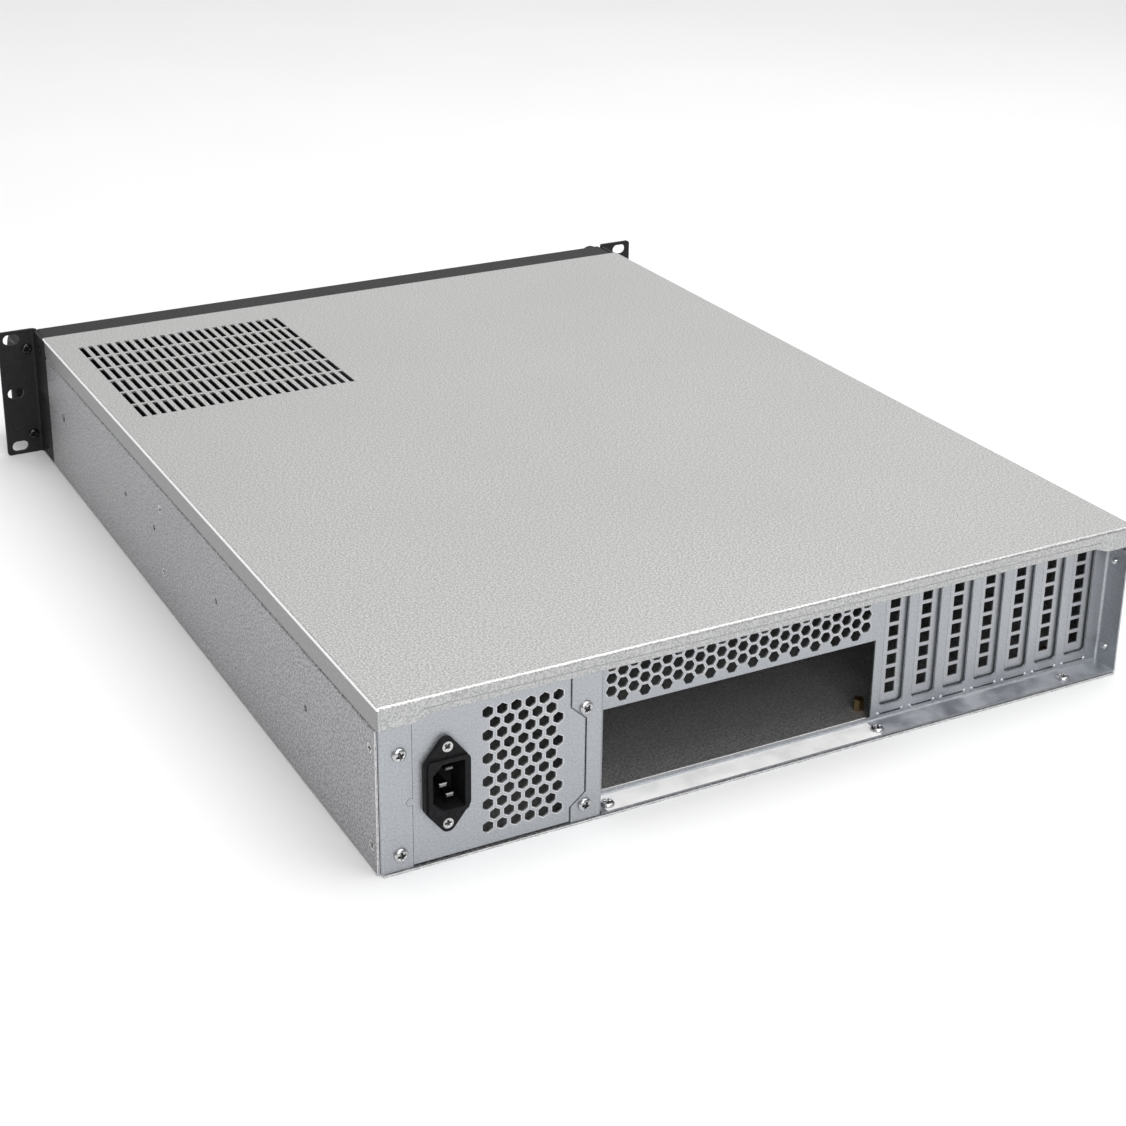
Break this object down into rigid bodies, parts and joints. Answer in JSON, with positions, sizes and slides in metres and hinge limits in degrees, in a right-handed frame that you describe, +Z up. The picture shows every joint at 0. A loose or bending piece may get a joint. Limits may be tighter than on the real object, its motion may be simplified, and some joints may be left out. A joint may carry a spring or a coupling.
{
  "type": "rackmount server case",
  "caption": "Empty low rackmount server case with vented cover, recessed rear panel, slot covers, mains inlet, rack ears and bow handles.",
  "frame": {"origin": "bottom centre of the whole case, with its handles and mains inlet", "axes": "+Z up, front with the handles towards -Y, rear towards +Y, mains inlet on the +X side"},
  "size_m": [0.4826, 0.6165, 0.088],
  "materials": {
    "zinc_sheet": "zinc-coated sheet steel, satin",
    "zinc_screw": "zinc-plated steel",
    "black_coat": "black powder coat",
    "black_screw": "black-plated steel",
    "inlet_plastic": "moulded black plastic",
    "pin_metal": "nickel-plated brass and steel",
    "button_plastic": "moulded black plastic",
    "circuit_board": "green solder resist",
    "clear_lens": "clear moulded lens",
    "standoff_brass": "plain brass"
  },
  "bodies": {
    "chassis": {"bay_cover": "black_coat", "board_standoffs": "standoff_brass", "chassis_tray": "zinc_sheet", "control_board": "circuit_board", "control_board_screws": "standoff_brass", "drive_cage": "zinc_sheet", "drive_cage_screws": "zinc_screw", "ear_screws": "black_screw", "fan_wall": "zinc_sheet", "fan_wall_screws": "zinc_screw", "front_panel": "black_coat", "front_panel_rivets": "zinc_screw", "front_panel_screws": "black_screw", "handle_left": "black_coat", "handle_right": "black_coat", "handle_screws": "black_screw", "indicator_lights": "clear_lens", "inlet_body": "inlet_plastic", "inlet_pins": "pin_metal", "inlet_plate": "zinc_sheet", "inlet_plate_screws": "zinc_screw", "inlet_screws": "zinc_screw", "power_supply_bracket": "zinc_sheet", "power_supply_bracket_screws": "zinc_screw", "power_switch": "button_plastic", "rack_ear_left": "black_coat", "rack_ear_right": "black_coat", "rear_panel": "zinc_sheet", "rear_side_screws": "zinc_screw", "recess_screws": "zinc_screw", "reset_switch": "button_plastic", "slot_cover_1": "zinc_sheet", "slot_cover_2": "zinc_sheet", "slot_cover_3": "zinc_sheet", "slot_cover_4": "zinc_sheet", "slot_cover_5": "zinc_sheet", "slot_cover_6": "zinc_sheet", "slot_cover_7": "zinc_sheet", "slot_cover_screws": "zinc_screw", "usb_sockets": "pin_metal", "usb_tongues": "button_plastic"},
    "power_button": {"power_button": "button_plastic"},
    "reset_button": {"reset_button": "button_plastic"},
    "cover": {"top_cover": "zinc_sheet"}
  },
  "joints": [
    {"name": "cover_slide", "type": "slide", "parent": "chassis", "child": "cover", "axis": [0, 1, 0], "range_m": [0, 0.5]},
    {"name": "power_press", "type": "slide", "parent": "chassis", "child": "power_button", "axis": [0, 1, 0], "range_m": [0, 0.002], "stiffness_N_per_m": 300, "springref_m": -0.001},
    {"name": "reset_press", "type": "slide", "parent": "chassis", "child": "reset_button", "axis": [0, 1, 0], "range_m": [0, 0.0015], "stiffness_N_per_m": 300, "springref_m": -0.001}
  ]
}
